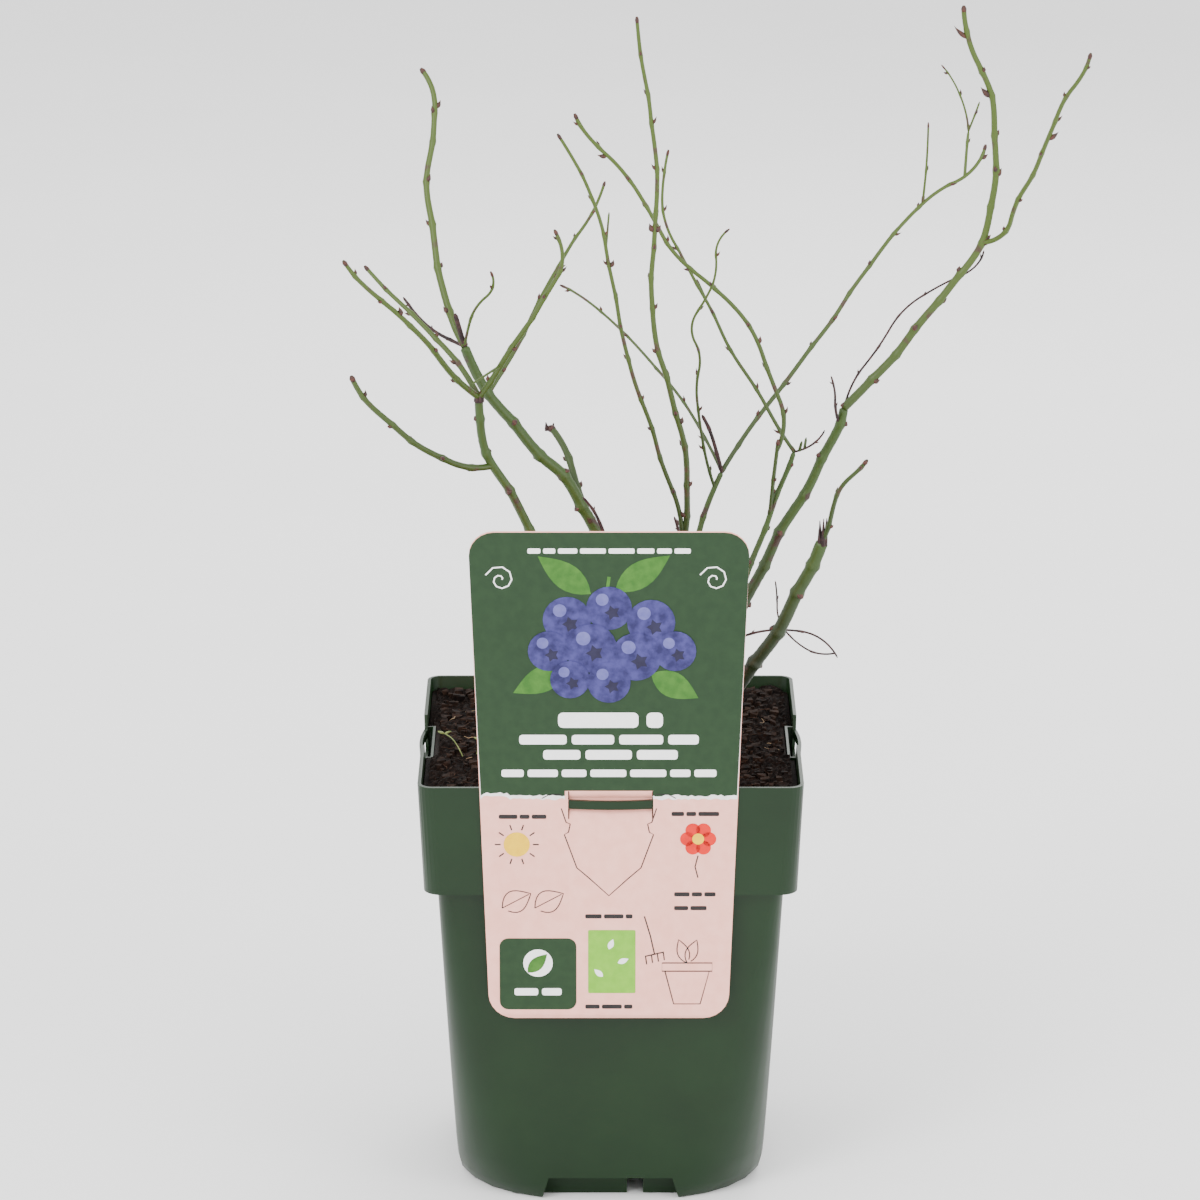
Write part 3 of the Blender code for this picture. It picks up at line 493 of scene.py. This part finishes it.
def make_soil_top(materials):
    """A crumbled skin over the soil, then loose crumbs and fibres strewn over it."""
    chance = random.Random("soil")
    count = SKIN_CELLS
    half = SKIN_HALF
    dice = np.random.default_rng(7)
    fine = dice.random((count + 1, count + 1))
    lumps = []
    for _ in range(SKIN_LUMPS):
        lumps.append((dice.uniform(0, count), dice.uniform(0, count), dice.uniform(2, 6)))
    j, i = np.mgrid[0:count + 1, 0:count + 1]
    coarse = np.zeros((count + 1, count + 1))
    for row, column, reach in lumps:
        rise = 1 - ((j - row) ** 2 + (i - column) ** 2) / reach ** 2
        coarse = np.maximum(coarse, np.clip(rise, 0, None) * reach / 5)
    skin = Bag()
    points = []
    for j in range(count + 1):
        for i in range(count + 1):
            x = half * (2 * i / count - 1)
            y = half * (2 * j / count - 1)
            lift = 0.1 + SKIN_GRAIN * fine[j, i] + SKIN_LUMP_HEIGHT * coarse[j, i]
            points.append((x, y, soil_height(x, y) + lift))
    faces = []
    for j in range(count):
        for i in range(count):
            a = j * (count + 1) + i
            middle = half * (2 * (i + 0.5) / count - 1), half * (2 * (j + 0.5) / count - 1)
            if not in_pocket(*middle):
                faces.append((a, a + 1, a + count + 2, a + count + 1))
    skin.add(points, faces)
    skin.piece("soil_skin", materials["soil"], "peat", smooth=False)
    crumbs = Bag()
    for _ in range(CRUMB_COUNT):
        x = chance.uniform(-CRUMB_HALF, CRUMB_HALF)
        y = chance.uniform(-CRUMB_HALF, CRUMB_HALF)
        if in_pocket(x, y) or math.hypot(x - CROWN_PLACE[0], y - CROWN_PLACE[1]) < 11:
            continue
        z = min(soil_height(x, y) + 1.4, POT_HEIGHT - 2.6)
        size = chance.uniform(0.6, 1.6) ** 2
        box = []
        for corner in range(8):
            box.append([c + (size if corner >> k & 1 else -size) * chance.uniform(0.3, 0.8)
                        for k, c in enumerate((x, y, z))])
        crumbs.add(box, BOX_FACES)
    crumbs.piece("soil_crumbs", materials["crumb"], "peat", smooth=False)
    for name, number, key in (("soil_fibres", 260, "fibre"), ("soil_straws", 45, "straw")):
        bag = Bag()
        for _ in range(number):
            x = chance.uniform(-STREW_HALF, STREW_HALF)
            y = chance.uniform(-STREW_HALF, STREW_HALF)
            turn = chance.uniform(0, math.pi)
            length = chance.uniform(2, 8)
            bend = chance.uniform(-0.3, 0.3)
            path = []
            for t in np.linspace(-0.5, 0.5, len(FIBRE_SHAPE)):
                px = x + length * t * math.cos(turn) - bend * length * t * t * math.sin(turn) * 4
                py = y + length * t * math.sin(turn) + bend * length * t * t * math.cos(turn) * 4
                high = soil_height(px, py) + 2.2 + t * chance.uniform(-1, 1)
                path.append((px, py, min(high, STREW_TOP)))
            if not in_pocket(x, y) and math.hypot(x - CROWN_PLACE[0], y - CROWN_PLACE[1]) > 12:
                sweep(bag, path, FIBRE_SHAPE, 5)
        bag.piece(name, materials[key], "peat")


def make_seedlings(materials):
    """Two pale seedlings with tiny leaves in the soil at the left."""
    bag = Bag()
    for foot, head in (((-50, -22, 149), (-57, -14, 156)), ((-46, -26, 149), (-44.5, -18, 155))):
        foot = np.array(foot, float)
        head = np.array(head, float)
        steps = np.linspace(0, 1, 9)
        path = [foot + (head - foot) * t + np.array([0, 0, 2.0]) * math.sin(math.pi * t) for t in steps]
        sweep(bag, path, [0.2] * 8 + [0.1], 7)
        for way in (-1, 1):
            leaf = [head + np.array([way * 2.4 * t, 0.4 * t, 0.8 * t]) for t in (0, 0.3, 0.7, 1)]
            sweep(bag, leaf, SEED_LEAF_SHAPE, 7)
    bag.piece("seedlings", materials["seedling"], "peat")


# Label print: x across and w up the label from the rim, in millimetres

SLOPE = math.atan2((RIM_WIDTH - COLLAR_FOOT_WIDTH) / 2, COLLAR_HEIGHT)
COLLAR = Matrix.Translation((0, -RIM_WIDTH / 2, POT_HEIGHT)) @ Matrix.Rotation(SLOPE, 4, "X")


def on_label(x, w, layer):
    return tuple(COLLAR @ Vector((x - 0.6, -LABEL_FACE - PRINT_STEP * layer, w)))


def fill(bag, outline, layer):
    bag.add([on_label(x, w, layer) for x, w in outline], [tuple(range(len(outline)))])


def rounded(x0, x1, w0, w1, radius, steps=6):
    points = []
    corners = ((x1, w1, 0), (x0, w1, 90), (x0, w0, 180), (x1, w0, 270))
    for x, w, start in corners:
        cx = x - radius if x == x1 else x + radius
        cw = w - radius if w == w1 else w + radius
        for step in range(steps + 1):
            turn = math.radians(start + 90 * step / steps)
            points.append((cx + radius * math.cos(turn), cw + radius * math.sin(turn)))
    return points


def stroke(bag, path, width, layer):
    """A pen line along points."""
    path = np.array(path, float)
    along = np.gradient(path, axis=0)
    along /= np.maximum(np.linalg.norm(along, axis=1), 1e-9)[:, None]
    side = np.stack([-along[:, 1], along[:, 0]], axis=1) * width / 2
    points = [on_label(x, w, layer) for x, w in np.vstack([path + side, path - side])]
    count = len(path)
    bag.add(points, [(i, count + i, count + i + 1, i + 1) for i in range(count - 1)])


def bars(bag, x0, x1, w, height, seed, layer):
    """Plain bars of uneven length in a row, in the place of words."""
    chance = random.Random(seed)
    x = x0
    while x < x1 - height * 0.6:
        stop = min(x1, x + chance.uniform(2, 5) * height)
        if x1 - stop < 1.2 * height:
            stop = x1
        fill(bag, rounded(x, stop, w - height / 2, w + height / 2, height * 0.3, 3), layer)
        x = stop + height * 0.5


def leaf_outline(x, w, length, width, turn):
    points = []
    for side in (1, -1):
        for t in np.linspace(0, 1, 10)[:-1]:
            t = t if side == 1 else 1 - t
            a = length * t
            b = side * width / 2 * math.sin(math.pi * t ** 0.85)
            cos, sin = math.cos(turn), math.sin(turn)
            points.append((x + a * cos - b * sin, w + a * sin + b * cos))
    return points


def disc(bag, x, w, radius, layer):
    turns = np.radians(np.linspace(0, 360, DISC_SIDES + 1)[:-1])
    fill(bag, [(x + radius * math.cos(t), w + radius * math.sin(t)) for t in turns], layer)


def print_ground(inks):
    """The green field, and the torn paper that shows under its ragged lower edge."""
    chance = random.Random("print")
    edge = SHEET_HALF - SHEET_TAPER * SHEET_TOP
    for name, layer, drop in (("torn", 1, 1.3), ("green", 2, 0)):
        low = TORN_EDGE - drop
        line = [(-edge + 0.5 - 0.1 * drop, low)]
        for x in np.arange(-edge + 1.5, -TONGUE_HALF, TORN_STEP):
            rag = chance.uniform(-TORN_DEPTH, TORN_DEPTH)
            line.append((x, low + rag + (1.0 if x < -34 else 0)))
        line += [(-TONGUE_HALF, low), (-TONGUE_HALF, TONGUE_TOP)]
        line += [(TONGUE_HALF, TONGUE_TOP), (TONGUE_HALF, low)]
        for x in np.arange(15.6, edge - 0.8, TORN_STEP):
            line.append((x, low + chance.uniform(-TORN_DEPTH, TORN_DEPTH)))
        line.append((edge - 0.5 + 0.1 * drop, low))
        line += rounded(-PRINT_HALF, PRINT_HALF, 0, PRINT_TOP, PRINT_CORNER)[:14]
        fill(inks[name], line, layer)


def print_headings(inks):
    """White bars in the place of words, with a curl at each side."""
    white = inks["white"]
    for x0, x1, w, height, seed in ((-27, 27, 84, 1.8, "thin"), (-17, 18, 24.5, 5.4, "title"),
                                    (-30, 30, 17.6, 3.4, "bold"), (-22, 23, 12.2, 3.4, "bold two"),
                                    (-36, 36, 5.6, 2.6, "line")):
        bars(white, x0, x1, w, height, seed, 3)
    for turn_x in (-36, 35):
        curl = []
        for k in range(14):
            reach = 0.6 + 0.35 * k
            curl.append((turn_x + reach * math.cos(k * 0.7), 74 + reach * math.sin(k * 0.7)))
        stroke(white, curl, 0.5, 3)


def print_fruit(inks):
    """A bunch of nine berries on a stalk, with four leaves."""
    lift = FRUIT_LIFT
    for x, w, length, turn in ((-6, 50, 22, 2.5), (2, 51, 22, 0.6), (-14, 24, 20, 3.6), (14, 22, 18, -0.5)):
        fill(inks["leaf"], leaf_outline(x, w + lift, length, 9, turn), 3)
    stalk = [(0, 56 + lift), (-1, 48 + lift), (-3, 40 + lift), (-2, 30 + lift)]
    stroke(inks["leaf"], stalk, 1.1, 3)
    spots = ((-14, 41, 8), (0, 45, 7.6), (14, 40, 8), (-20, 30, 7), (-6, 31, 8.6), (9, 28, 8.4),
             (22, 30, 7), (0, 19, 7.2), (-13, 20, 6.6))
    for index, (x, low, radius) in enumerate(spots):
        w = low + lift
        disc(inks["berry"], x, w, radius, 4 + index)
        disc(inks["shine"], x - radius * 0.3, w + radius * 0.4, radius * 0.28, 4.5 + index)
        middle = x + 0.15 * radius, w - 0.2 * radius
        star = []
        for k in range(10):
            reach = radius * (0.36 if k % 2 else 0.2)
            turn = k * math.pi / 5
            star.append((middle[0] + reach * math.cos(turn), middle[1] + reach * math.sin(turn)))
        fill(inks["calyx"], star, 4.6 + index)


def print_drawings(inks):
    """Small drawings on the pink: a flower, a sun, a plant pot, a rake and two leaves."""
    ink = inks["ink"]
    for k in range(6):
        turn = k * math.pi / 3
        disc(inks["red"], 30 + 3.6 * math.cos(turn), -18 + 3.6 * math.sin(turn), 2.5, 2)
    disc(inks["yellow"], 30, -18, 2.0, 3)
    stroke(ink, [(30, -24), (29, -28), (30, -32)], 0.4, 2)
    disc(inks["yellow"], -31, -20, 4.4, 2)
    for k in range(10):
        turn = k * math.pi / 5
        ray = [(-31 + r * math.cos(turn), -20 + r * math.sin(turn)) for r in (5.4, 6.4, 7.4)]
        stroke(ink, ray, 0.45, 2)
    pot = [(19, -66), (22, -78), (31, -78), (34, -66)]
    pot_rim = [(18, -66), (18, -63), (35, -63), (35, -66), (19, -66)]
    stroke(ink, pot + pot_rim, 0.4, 2)
    for turn in (1.9, 1.2):
        stroke(ink, leaf_outline(26.5, -63, 9, 4, turn), 0.35, 2)
    stroke(ink, [(12, -46), (14, -53), (15.5, -60)], 0.45, 2)
    for k in range(4):
        stroke(ink, [(12.4 + 2 * k, -60.5 + 0.5 * k), (12.8 + 2 * k, -63.5 + 0.5 * k)], 0.4, 2)
    stroke(ink, [(12.2, -60.6), (18.6, -59)], 0.45, 2)
    for x in (-36, -25):
        stroke(ink, leaf_outline(x, -43, 11, 8, 0.5), 0.35, 2)
        stroke(ink, [(x, -43), (x + 9, -38)], 0.3, 2)
    for x0, x1, w, seed in ((21, 37, -9, "a"), (-37, -21, -10, "b"), (22, 36, -38, "c"),
                            (22, 33, -43, "d"), (-8, 8, -46, "e"), (-8, 8, -79, "f")):
        bars(ink, x0, x1, w, 1.5, seed, 2)


def print_panels(inks):
    """A dark panel with a leaf on a disc, and a light one with three small leaves."""
    fill(inks["green"], rounded(-37, -11, -80, -54, 3), 3)
    disc(inks["white"], -24, -63, 5.0, 4)
    fill(inks["leaf"], leaf_outline(-27.5, -66.5, 9.5, 4.5, 0.8), 5)
    bars(inks["white"], -32, -16, -73.5, 2.6, "square", 4)
    fill(inks["lime"], rounded(-7, 9, -74, -51, 0.4, 2), 2)
    for x, w, turn in ((0, -58, 1.2), (3, -63, 0.4), (-2, -68, 2.4)):
        fill(inks["white"], leaf_outline(x, w, 4, 2, turn), 3)


def paint_tongue_cut_shade(inks):
    """Painted shade: a dark line along the die cut round the tongue's lower end, and a short dark line for
    the open slit at each side of its top.
    """
    right = [(16, -7), (14.4, -12), (13.0, -12.6), (13.6, -15.6), (15, -16.4), (10.8, -28.4), (6.8, -32)]
    left = [(-x, w) for x, w in reversed(right)]
    # Painted shade: this dark stroke stands for the shadow in the die cut round the tongue
    stroke(inks["ink"], right + [(0, -38.5)] + left, 0.38, 2)
    for way in (-1, 1):
        # Painted shade: short dark strokes for the shaded openings of the slits
        stroke(inks["ink"], [(way * 15.6, -1.9), (way * 20, -2), (way * 22.5, -3.4)], 0.3, 4)


def print_label(materials):
    inks = {name: Bag() for name in PRINT_COLOURS}
    print_ground(inks)
    print_headings(inks)
    print_fruit(inks)
    print_drawings(inks)
    print_panels(inks)
    paint_tongue_cut_shade(inks)
    for name, bag in inks.items():
        bag.piece("print_" + name, materials["print_" + name], "label_sheet", smooth=False)


# Two colours of each ink, in the order of the pieces
PRINT_COLOURS = {
    "green": ((0.009, 0.031, 0.009), (0.012, 0.037, 0.011)),
    "torn": ((0.80, 0.76, 0.74), (0.9, 0.87, 0.85)),
    "white": ((0.93, 0.93, 0.92), (0.97, 0.97, 0.96)),
    # The dark ink is also used to paint the shade in the tongue's die cut and slits
    "ink": ((0.012, 0.010, 0.010), (0.02, 0.017, 0.017)),
    "leaf": ((0.03, 0.12, 0.012), (0.055, 0.17, 0.02)),
    "red": ((0.60, 0.008, 0.004), (0.70, 0.014, 0.008)),
    "yellow": ((0.80, 0.47, 0.004), (0.88, 0.55, 0.01)),
    "lime": ((0.16, 0.42, 0.02), (0.2, 0.48, 0.03)),
    "berry": ((0.014, 0.012, 0.075), (0.05, 0.045, 0.19)),
    "calyx": ((0.010, 0.008, 0.03), (0.016, 0.014, 0.045)),
    "shine": ((0.09, 0.088, 0.29), (0.13, 0.128, 0.34)),
}


# Piece material: its name, two colours, the noise's scale, roughness, bump and specular level
PLAIN_LOOKS = {
    "pot": ("pot_plastic", (0.0032, 0.0165, 0.0030), (0.0042, 0.0205, 0.0040), 40, 0.38, 0.04, 0.28),
    "soil": ("peat", (0.002, 0.0012, 0.0008), (0.011, 0.0055, 0.0035), 700, 0.95, 0.8, 0.15),
    "crumb": ("peat_crumbs", (0.003, 0.0016, 0.0012), (0.024, 0.012, 0.007), 300, 0.95, 0.8, 0.15),
    "fibre": ("peat_fibres", (0.012, 0.006, 0.003), (0.045, 0.02, 0.010), 300, 0.9, 0.3, 0.2),
    "straw": ("pale_straws", (0.16, 0.10, 0.05), (0.34, 0.24, 0.14), 300, 0.8, 0.3, 0.5),
    "seedling": ("seedling_green", (0.10, 0.14, 0.03), (0.2, 0.25, 0.07), 300, 0.6, 0.1, 0.5),
    "label": ("label_sheet", (0.92, 0.44, 0.355), (0.97, 0.49, 0.405), 260, 0.5, 0.04, 0.3),
    "crown": ("crown_bark", (0.03, 0.022, 0.013), (0.12, 0.08, 0.045), 350, 0.9, 0.9, 0.5),
    "dead": ("dead_bark", (0.010, 0.004, 0.005), (0.05, 0.018, 0.017), 500, 0.8, 0.5, 0.5),
    "bud": ("bud_scales", (0.018, 0.004, 0.0025), (0.075, 0.018, 0.007), 900, 0.55, 0.3, 0.5),
}
# Green bark: its colours at the foot and the top, its specks, and the heights of both in metres
BARK_LOOKS = {
    "cane": ((0.003, 0.0045, 0.002), (0.024, 0.056, 0.001), (0.03, 0.012, 0.005), 0.165, 0.225),
    "shoot": ((0.015, 0.036, 0.0008), (0.048, 0.083, 0.001), (0.045, 0.022, 0.008), 0.225, 0.33),
}


def make_materials():
    made = {}
    for key, (name, low, high, scale, roughness, bump, specular) in PLAIN_LOOKS.items():
        made[key] = noise_colour(name, low, high, scale, roughness, bump, specular)
    for key, look in BARK_LOOKS.items():
        made[key] = bark(key + "_bark", *look)
    for name, (low, high) in PRINT_COLOURS.items():
        made["print_" + name] = noise_colour("print_" + name, low, high, 300, 0.5, 0.02, 0.3)
    return made


SHARP_ANGLE = math.radians(32)
EASED_ANGLE = math.radians(50)


def finer(node, name, material, bevel=0.0, grain=0.0):
    """A part's own shape with its edges eased and its round faces smooth."""
    shape = bmesh.new()
    shape.from_mesh(node.data)
    bmesh.ops.remove_doubles(shape, verts=shape.verts, dist=0.00001)
    mesh = bpy.data.meshes.new(name)
    shape.to_mesh(mesh)
    shape.free()
    mesh.materials.clear()
    mesh.materials.append(material)
    mesh.shade_smooth()
    mesh.set_sharp_from_angle(angle=SHARP_ANGLE)
    item = bpy.data.objects.new(name, mesh)
    bpy.context.scene.collection.objects.link(item)
    if bevel:
        ease = item.modifiers.new("ease", "BEVEL")
        ease.width = bevel
        ease.segments = 2
        ease.limit_method = "ANGLE"
        ease.angle_limit = EASED_ANGLE
    if grain:
        split = item.modifiers.new("split", "SUBSURF")
        split.levels = 3
        split.render_levels = 3
        texture = bpy.data.textures.new(name, "CLOUDS")
        texture.noise_scale = 0.004
        push = item.modifiers.new("grain", "DISPLACE")
        push.texture = texture
        push.strength = grain
        push.mid_level = 0.6
    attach(item, "root")
    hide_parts(node.name)


# The stage is in metres: each light's place, aim and size, and then its power in watts
LIGHTS = (
    ("key", (-0.9, -1.3, 1.3), (0, 0, 0.18), 0.9, 26),
    ("fill", (1.2, -1.0, 0.8), (0, 0, 0.18), 1.0, 12),
    ("back", (0.3, 1.3, 1.2), (0, 0, 0.2), 1.0, 14),
)
SKY_STRENGTH = 1.75
FLOOR_HALF = 8
FLOOR_DROP = 0.0002
# The lens is in millimetres
CAMERA_LENS = 172.56
CAMERA_PLACE = (-0.0036, -1.9, 0.75)
CAMERA_TILT = math.radians(73.85)


def area_light(name, place, aim, size, power):
    light = bpy.data.lights.new(name, "AREA")
    light.shape = "DISK"
    light.size = size
    light.energy = power
    item = bpy.data.objects.new(name, light)
    item.location = place
    item.rotation_euler = (Vector(aim) - Vector(place)).to_track_quat("-Z", "Y").to_euler()
    bpy.context.scene.collection.objects.link(item)


def make_stage():
    material = noise_colour("floor_paper", (0.93, 0.93, 0.93), (0.95, 0.95, 0.95), 5, 0.7, 0.0)
    mesh = bpy.data.meshes.new("floor")
    corners = [(x * FLOOR_HALF, y * FLOOR_HALF, 0) for x, y in ((-1, -1), (1, -1), (1, 1), (-1, 1))]
    mesh.from_pydata(corners, [], [(0, 1, 2, 3)])
    mesh.materials.append(material)
    floor = bpy.data.objects.new("floor", mesh)
    floor.location.z = -FLOOR_DROP
    bpy.context.scene.collection.objects.link(floor)
    world = bpy.data.worlds.new("studio")
    world.use_nodes = True
    world.node_tree.nodes["Background"].inputs["Color"].default_value = (1, 1, 1, 1)
    world.node_tree.nodes["Background"].inputs["Strength"].default_value = SKY_STRENGTH
    bpy.context.scene.world = world
    for light in LIGHTS:
        area_light(*light)


def make_camera():
    camera = bpy.data.cameras.new("camera")
    camera.lens = CAMERA_LENS
    camera.sensor_width = 36
    camera.clip_end = 50
    item = bpy.data.objects.new("camera", camera)
    item.location = CAMERA_PLACE
    item.rotation_euler = (CAMERA_TILT, 0, 0)
    bpy.context.scene.collection.objects.link(item)
    bpy.context.scene.camera = item


def main():
    materials = make_materials()
    nodes = frame["nodes"]
    finer(nodes["pot"], "pot_smooth", materials["pot"], bevel=0.2 * MM)
    finer(nodes["soil"], "soil_body", materials["soil"])
    finer(nodes["label"], "label_sheet", materials["label"])
    finer(nodes["root_crown"], "root_crown_bark", materials["crown"], grain=1.5 * MM)
    trails = all_trails()
    bags = {kind: Bag() for kind in ("cane", "shoot", "dead", "bud")}
    grow(trails, bags)
    large_buds(trails, bags)
    dead_ends(trails, bags)
    limb_nodes = [n for n in nodes if n not in ("pot", "soil", "label", "root_crown")]
    canes = [n for n in limb_nodes if n.startswith("cane")]
    dead = [n for n in limb_nodes if "dead" in n or n == "twig_short"]
    shoots = [n for n in limb_nodes if n not in canes + dead]
    bags["cane"].piece("canes", materials["cane"], "cane_bark", canes)
    bags["shoot"].piece("shoots", materials["shoot"], "shoot_bark", shoots)
    bags["dead"].piece("dead_wood", materials["dead"], "dead_bark", dead)
    bags["bud"].piece("buds", materials["bud"], "shoot_bark")
    make_soil_top(materials)
    make_seedlings(materials)
    print_label(materials)
    make_stage()
    make_camera()


main()
